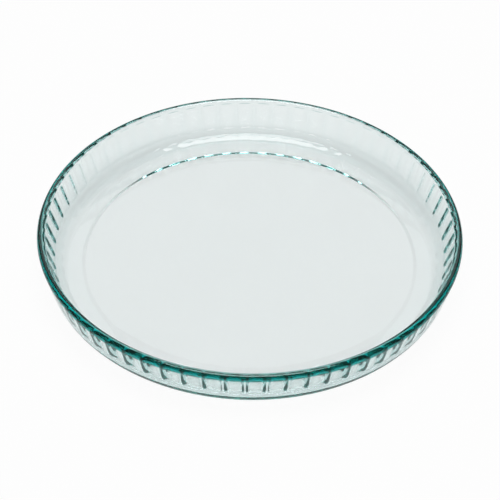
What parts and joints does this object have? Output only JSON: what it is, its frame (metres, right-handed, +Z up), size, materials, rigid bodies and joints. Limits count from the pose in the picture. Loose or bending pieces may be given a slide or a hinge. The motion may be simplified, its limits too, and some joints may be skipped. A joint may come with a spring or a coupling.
{
  "type": "pie dish",
  "caption": "Round shallow pie dish of clear pressed glass, with a leaning wall, wide upright flutes side by side round its inside, a rounded rim and a base with a shallow recess.",
  "frame": {"origin": "middle of the ring the dish stands on, level with it", "axes": "+Z up through the middle of the dish, +X and +Y level"},
  "size_m": [0.28, 0.28, 0.0311],
  "materials": {
    "clear_glass": "clear pressed glass, fire polished, with a blue-green edge"
  },
  "bodies": {
    "root": {"fluted_dish": "clear_glass"}
  },
  "joints": []
}
